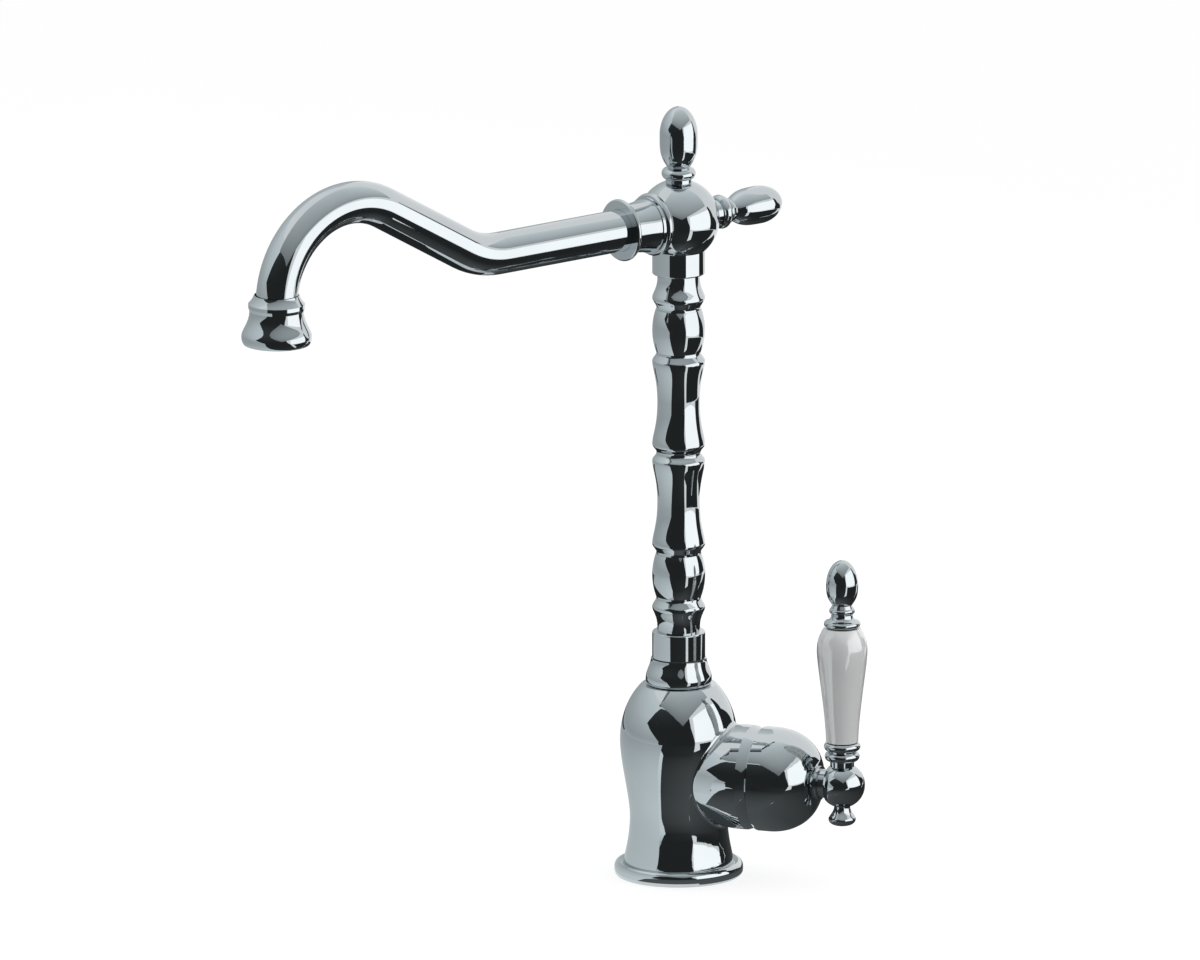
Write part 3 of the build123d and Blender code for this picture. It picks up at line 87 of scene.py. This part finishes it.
def new_material(name):
    """A node material with a Principled shader, as (material, nodes, links, shader)."""
    material = bpy.data.materials.new(name)
    material.use_nodes = True
    nodes = material.node_tree.nodes
    links = material.node_tree.links
    return material, nodes, links, nodes["Principled BSDF"]


def object_noise(nodes, links, scale, detail):
    """Noise in the object's own space."""
    place = nodes.new("ShaderNodeTexCoord")
    noise = nodes.new("ShaderNodeTexNoise")
    noise.inputs["Scale"].default_value = scale
    noise.inputs["Detail"].default_value = detail
    links.new(place.outputs["Object"], noise.inputs["Vector"])
    return noise


def tone_ramp(nodes, links, source, socket, low, high):
    """Two tones of a noise into a colour socket."""
    ramp = nodes.new("ShaderNodeValToRGB")
    ramp.color_ramp.elements[0].position = noise_low
    ramp.color_ramp.elements[0].color = (*low, 1)
    ramp.color_ramp.elements[1].position = noise_high
    ramp.color_ramp.elements[1].color = (*high, 1)
    links.new(source.outputs["Fac"], ramp.inputs["Fac"])
    links.new(ramp.outputs["Color"], socket)


def value_range(nodes, links, source, socket, low, high):
    """A noise between two values into a number socket."""
    span = nodes.new("ShaderNodeMapRange")
    span.inputs["From Min"].default_value = noise_low
    span.inputs["From Max"].default_value = noise_high
    span.inputs["To Min"].default_value = low
    span.inputs["To Max"].default_value = high
    links.new(source.outputs["Fac"], span.inputs["Value"])
    links.new(span.outputs["Result"], socket)


def relief(nodes, links, source, shader, strength, depth):
    """A noise as bump."""
    bump = nodes.new("ShaderNodeBump")
    bump.inputs["Strength"].default_value = strength
    bump.inputs["Distance"].default_value = depth
    links.new(source.outputs["Fac"], bump.inputs["Height"])
    links.new(bump.outputs["Normal"], shader.inputs["Normal"])


def chrome_finish():
    """Polished chrome plate with a faint cool cast and polishing haze."""
    material, nodes, links, shader = new_material("chrome_finish")
    shader.inputs["Metallic"].default_value = 1
    haze = object_noise(nodes, links, scale=60, detail=3)
    tone_ramp(nodes, links, haze, shader.inputs["Base Color"], (0.53, 0.57, 0.59), (0.56, 0.598, 0.615))
    polish = object_noise(nodes, links, scale=240, detail=4)
    value_range(nodes, links, polish, shader.inputs["Roughness"], 0.015, 0.04)
    return material


def porcelain_finish():
    """White glazed porcelain: soft body tone under a clear glaze with slight waves."""
    material, nodes, links, shader = new_material("porcelain_finish")
    clouds = object_noise(nodes, links, scale=45, detail=3)
    tone_ramp(nodes, links, clouds, shader.inputs["Base Color"], (0.84, 0.855, 0.86), (0.88, 0.89, 0.89))
    value_range(nodes, links, clouds, shader.inputs["Roughness"], 0.2, 0.28)
    shader.inputs["Coat Weight"].default_value = 1.0
    shader.inputs["Coat IOR"].default_value = 2.1
    shader.inputs["Coat Roughness"].default_value = 0.03
    waves = object_noise(nodes, links, scale=90, detail=1)
    relief(nodes, links, waves, shader, strength=0.1, depth=0.0001)
    return material


def plain_finish(name, low, high, roughness, grain, depth, metallic=0.0):
    """A matt or metal finish with a two-tone grain."""
    material, nodes, links, shader = new_material(name)
    shader.inputs["Metallic"].default_value = metallic
    noise = object_noise(nodes, links, scale=grain, detail=4)
    tone_ramp(nodes, links, noise, shader.inputs["Base Color"], low, high)
    value_range(nodes, links, noise, shader.inputs["Roughness"], *roughness)
    relief(nodes, links, noise, shader, strength=0.3, depth=depth)
    return material


def disc_finish():
    """Lapped ceramic of the cartridge's discs."""
    low, high = (0.72, 0.71, 0.66), (0.82, 0.81, 0.77)
    return plain_finish("disc_finish", low, high, roughness=(0.2, 0.35), grain=500, depth=0.00002)


def brass_finish():
    """Turned brass."""
    low, high = (0.34, 0.23, 0.1), (0.46, 0.33, 0.15)
    return plain_finish(
        "brass_finish", low, high, roughness=(0.25, 0.42), grain=300, depth=0.00002, metallic=1.0
    )


def steel_finish():
    """Satin steel."""
    low, high = (0.42, 0.42, 0.41), (0.6, 0.6, 0.59)
    return plain_finish(
        "steel_finish", low, high, roughness=(0.25, 0.4), grain=400, depth=0.00002, metallic=1.0
    )


def plastic_finish():
    """Dark moulded plastic of the cartridge."""
    low, high = (0.05, 0.052, 0.055), (0.075, 0.077, 0.08)
    return plain_finish("plastic_finish", low, high, roughness=(0.4, 0.55), grain=600, depth=0.00003)


def aerator_finish():
    """Pale moulded plastic of the aerator."""
    low, high = (0.5, 0.51, 0.52), (0.6, 0.61, 0.62)
    return plain_finish("aerator_finish", low, high, roughness=(0.35, 0.5), grain=600, depth=0.00003)


def rubber_finish():
    """Black rubber of the seals."""
    low, high = (0.012, 0.012, 0.013), (0.03, 0.03, 0.032)
    return plain_finish("rubber_finish", low, high, roughness=(0.55, 0.75), grain=900, depth=0.00005)


finishes = {
    "chrome": chrome_finish(),
    "porcelain": porcelain_finish(),
    "disc_ceramic": disc_finish(),
    "brass": brass_finish(),
    "steel": steel_finish(),
    "plastic": plastic_finish(),
    "aerator": aerator_finish(),
    "rubber": rubber_finish(),
}
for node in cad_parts.values():
    slot_name = node.data.materials[0].name
    node.data.materials[0] = finishes[slot_name]


# Materials of the studio

def seen_share(nodes, links):
    """1 for rays from the camera, from mirrors and through glass, and 0 for the light on matt surfaces."""
    path = nodes.new("ShaderNodeLightPath")
    first = nodes.new("ShaderNodeMath")
    first.operation = "MAXIMUM"
    links.new(path.outputs["Is Camera Ray"], first.inputs[0])
    links.new(path.outputs["Is Glossy Ray"], first.inputs[1])
    second = nodes.new("ShaderNodeMath")
    second.operation = "MAXIMUM"
    links.new(first.outputs[0], second.inputs[0])
    links.new(path.outputs["Is Transmission Ray"], second.inputs[1])
    return second.outputs[0]


def share_to_strength(nodes, links, share, socket, low, high):
    """A share from 0 to 1 as a strength between two levels."""
    span = nodes.new("ShaderNodeMapRange")
    span.inputs["To Min"].default_value = low
    span.inputs["To Max"].default_value = high
    links.new(share, span.inputs["Value"])
    links.new(span.outputs["Result"], socket)


def white_surroundings():
    """White for the camera and for mirrors, and a plain fill for matt surfaces."""
    world = bpy.data.worlds.new("studio")
    world.use_nodes = True
    nodes = world.node_tree.nodes
    links = world.node_tree.links
    background = nodes["Background"]
    background.inputs["Color"].default_value = (1, 1, 1, 1)
    share_to_strength(nodes, links, seen_share(nodes, links), background.inputs["Strength"], fill_level, 1)
    scene.world = world


def floor_material():
    """Pale floor that keeps a soft shadow."""
    material, nodes, links, shader = new_material("floor_finish")
    nodes.remove(shader)
    matt = nodes.new("ShaderNodeBsdfDiffuse")
    matt.inputs["Color"].default_value = (floor_tone, floor_tone, floor_tone, 1)
    glow = nodes.new("ShaderNodeEmission")
    share_to_strength(nodes, links, seen_share(nodes, links), glow.inputs["Strength"], 0, floor_glow)
    both = nodes.new("ShaderNodeAddShader")
    links.new(matt.outputs[0], both.inputs[0])
    links.new(glow.outputs[0], both.inputs[1])
    links.new(both.outputs[0], nodes["Material Output"].inputs["Surface"])
    return material


def painted_reflection_material():
    """Glowing card that paints reflections, whose tone is kept at its points."""
    material, nodes, links, shader = new_material("painted_reflection_finish")
    nodes.remove(shader)
    tone = nodes.new("ShaderNodeAttribute")
    tone.attribute_name = "tone"
    glow = nodes.new("ShaderNodeEmission")
    links.new(tone.outputs["Color"], glow.inputs["Color"])
    links.new(glow.outputs[0], nodes["Material Output"].inputs["Surface"])
    return material


# Rows of points for the cards that paint reflections, each point with its tone

def blend(start, end, share):
    """Between two numbers or points."""
    return start + (end - start) * share


def arc(start_turn, end_turn, distance, height, start_tone, end_tone):
    """Points round the column at one distance and height."""
    row = []
    for step in range(arc_steps + 1):
        share = step / arc_steps
        point = studio_point(blend(start_turn, end_turn, share), distance, height)
        row.append((point, blend(start_tone, end_tone, share)))
    return row


def bowed_arc(start_turn, end_turn, start_distance, end_distance, height, tone):
    """Points of one tone round the column, that draw near to it quickly and then slowly."""
    row = []
    for step in range(arc_steps + 1):
        share = step / arc_steps
        distance = blend(end_distance, start_distance, (1 - share) ** bow_power)
        row.append((studio_point(blend(start_turn, end_turn, share), distance, height), tone))
    return row


def straight(start, end):
    """Points in a straight line."""
    row = []
    for step in range(kite_steps + 1):
        share = step / kite_steps
        row.append((blend(start[0], end[0], share), blend(start[1], end[1], share)))
    return row


def between(first, last):
    """Rows from a first row to a last one."""
    columns = [straight(start, end) for start, end in zip(first, last)]
    return list(zip(*columns))


# Builders of the studio

def stage_mesh(name, rows, material):
    """A stage surface of quads between rows of points."""
    points = [point for row in rows for point in row]
    width = len(rows[0])
    faces = []
    for row in range(len(rows) - 1):
        for step in range(width - 1):
            corner = row * width + step
            faces.append((corner, corner + 1, corner + width + 1, corner + width))
    mesh = bpy.data.meshes.new(name)
    mesh.from_pydata(points, [], faces)
    mesh.materials.append(material)
    card = bpy.data.objects.new(name, mesh)
    scene.collection.objects.link(card)
    return card


def painted_reflection_card(name, rows, tint=reflection_card_tint):
    """A glowing card that only the polished surfaces show, which paints a reflection, with rows of points
    and their tones.
    """
    card = stage_mesh(name, [[point for point, tone in row] for row in rows], painted_reflection_finish)
    card.visible_camera = False
    card.visible_diffuse = False
    card.visible_transmission = False
    card.visible_shadow = False
    tones = card.data.color_attributes.new("tone", "FLOAT_COLOR", "POINT")
    flat = [tone for row in rows for point, tone in row]
    for place, tone in zip(tones.data, flat):
        place.color = (*(share * tone for share in tint), 1)


def upright_reflection_card(name, turn, distance, height, size, tone, tint):
    """A flat upright glowing card of one tone that faces the column and paints a reflection in mirrors."""
    centre = studio_point(turn, distance, height)
    across = studio_point(turn + 90, size[0] / 2, 0)
    up = Vector((0, 0, size[1] / 2))
    rows = [[(centre + side - up, tone), (centre + side + up, tone)] for side in (-across, across)]
    painted_reflection_card(name, rows, tint)


def soft_lamp(name, turn, distance, height, size, radiance):
    """An upright soft box that faces the column and lights matt surfaces only."""
    lamp = bpy.data.lights.new(name, "AREA")
    lamp.shape = "RECTANGLE"
    lamp.size, lamp.size_y = size
    lamp.energy = radiance * size[0] * size[1] * pi
    lamp_object = bpy.data.objects.new(name, lamp)
    lamp_object.location = studio_point(turn, distance, height)
    towards = studio_point(turn, -1, 0)
    lamp_object.rotation_euler = towards.to_track_quat("-Z", "Z").to_euler()
    lamp_object.visible_camera = False
    lamp_object.visible_glossy = False
    scene.collection.objects.link(lamp_object)


def studio_camera():
    """Camera at the photograph's angle, with no perspective, as from far off."""
    back = studio_front * cos(radians(camera_rise)) + Vector((0, 0, sin(radians(camera_rise))))
    data = bpy.data.cameras.new("camera")
    data.type = "ORTHO"
    data.ortho_scale = frame_width
    camera = bpy.data.objects.new("camera", data)
    camera.location = camera_target + back * camera_distance
    camera.rotation_euler = back.to_track_quat("Z", "Y").to_euler()
    scene.collection.objects.link(camera)
    scene.camera = camera


# Camera, surroundings, floor and lamps
studio_camera()
white_surroundings()
stage_mesh(
    "floor",
    [
        [Vector((-floor_half, -floor_half, 0)), Vector((floor_half, -floor_half, 0))],
        [Vector((-floor_half, floor_half, 0)), Vector((floor_half, floor_half, 0))],
    ],
    floor_material(),
)
soft_lamp("key_box", *key_place, key_radiance)
soft_lamp("rim_box", *rim_place, rim_radiance)
soft_lamp("side_box", *side_place, side_radiance)
painted_reflection_finish = painted_reflection_material()
# Painted highlight: a glowing card that only mirrors show stands where the key box is, in place of the
# box's own reflection
upright_reflection_card("key_painted_highlight", *key_place, key_highlight_tone, key_highlight_tint)

# Dark glowing cards on the floor that only mirrors show: painted dark reflections, lighter in places near
# the column as a painted reflection of lit floor
painted_reflection_card(
    "front_floor_painted_reflection",
    [
        arc(-45, 22, 0.03, reflection_card_lift, 0.12, 0.12),
        arc(-37, 22, 0.086, reflection_card_lift, 0.06, 0.1),
        arc(-29, 28, 0.2, reflection_card_lift, dark_reflection_tone, 0.04),
        arc(-40, 32, 0.76, reflection_card_lift, dark_reflection_tone, dark_reflection_tone),
        arc(-40, 32, front_distance, reflection_card_lift, dark_reflection_tone, dark_reflection_tone),
    ],
)
painted_reflection_card(
    "right_floor_painted_reflection",
    [
        arc(20, 150, 0.028, reflection_card_lift, 0.12, 0.12),
        arc(20, 110, 0.06, reflection_card_lift, 0.1, 0.05),
        arc(26, 100, 0.24, reflection_card_lift, 0.04, dark_reflection_tone),
        arc(41, 103, 0.3, reflection_card_lift, dark_reflection_tone, dark_reflection_tone),
        arc(41, 122, 0.74, reflection_card_lift, dark_reflection_tone, dark_reflection_tone),
    ],
)
painted_reflection_card(
    "rear_floor_painted_reflection",
    [
        arc(100, 180, 0.03, reflection_card_lift, 0.1, 0.1),
        arc(100, 180, 0.1, reflection_card_lift, dark_reflection_tone, 0.1),
        arc(100, 186, 0.25, reflection_card_lift, dark_reflection_tone, 0.06),
        arc(110, 205, 0.36, reflection_card_lift, dark_reflection_tone, dark_reflection_tone),
        arc(135, 230, 0.6, reflection_card_lift, dark_reflection_tone, 0.1),
    ],
)
painted_reflection_card(
    "spout_floor_painted_reflection",
    [
        arc(spout_start, spout_end, 0.086, reflection_card_lift, dark_reflection_tone, dark_reflection_tone),
        bowed_arc(spout_start, spout_end, 0.55, 0.125, reflection_card_lift, dark_reflection_tone),
    ],
)

# Upright dark glowing cards in front and at the right edge that only mirrors show: painted dark
# reflections
painted_reflection_card(
    "front_painted_reflection",
    [
        arc(-40, 32, front_distance, 0, dark_reflection_tone, dark_reflection_tone),
        arc(-70, 26, front_distance, 0.5, dark_reflection_tone, dark_reflection_tone),
        arc(-48, 22, front_distance, 1.4, 0.06, dark_reflection_tone),
    ],
)
painted_reflection_card(
    "edge_painted_reflection",
    [
        arc(100, 140, edge_distance, 0, dark_reflection_tone, dark_reflection_tone),
        arc(100, 130, edge_distance, 0.12, dark_reflection_tone, dark_reflection_tone),
        arc(100, 113, edge_distance, 0.28, dark_reflection_tone, dark_reflection_tone),
        arc(100, 105, edge_distance, 0.58, dark_reflection_tone, dark_reflection_tone),
    ],
)

# Pale glowing cards on the left that only mirrors show, painted pale reflections: low by the foot, on the
# floor and as a wall
painted_reflection_card(
    "left_low_painted_reflection",
    [
        arc(left_start, -43, low_card_distance, 0, 0.6, 0.85),
        arc(left_start, -38, low_card_distance, 0.02, 0.58, 0.8),
        arc(left_start, -27, low_card_distance, 0.056, 0.43, 0.58),
    ],
)
painted_reflection_card(
    "left_floor_painted_reflection",
    [
        arc(left_start, left_end, 0.03, left_lift, 0.6, 0.95),
        arc(left_start, left_end, 0.15, left_lift, 0.6, 0.95),
        arc(left_start, left_end, 0.35, left_lift, 0.55, 0.8),
        arc(left_start, left_end, 0.8, left_lift, 0.42, 0.6),
        arc(left_start, left_end, wall_distance, left_lift, 0.42, 0.55),
    ],
)
painted_reflection_card(
    "left_wall_painted_reflection",
    [
        arc(left_start, left_end, wall_distance, 0, 0.42, 0.55),
        arc(left_start, left_end, wall_distance, 0.8, 0.55, 0.85),
        arc(left_start, left_end, wall_distance, 2.2, 0.85, 0.95),
    ],
)

# Kite-shaped glowing card above that only mirrors show, a painted reflection, brightest at the back
kite_front = (studio_point(9, 1.5, ceiling_height), 0.2)
kite_right = (studio_point(97, 0.65, ceiling_height), 0.5)
kite_left = (studio_point(-52, 0.6, ceiling_height), 0.32)
kite_back = (studio_point(180, 0.12, ceiling_height), 1.0)
painted_reflection_card("ceiling_painted_reflection", between(straight(kite_front, kite_right), straight(kite_left, kite_back)))
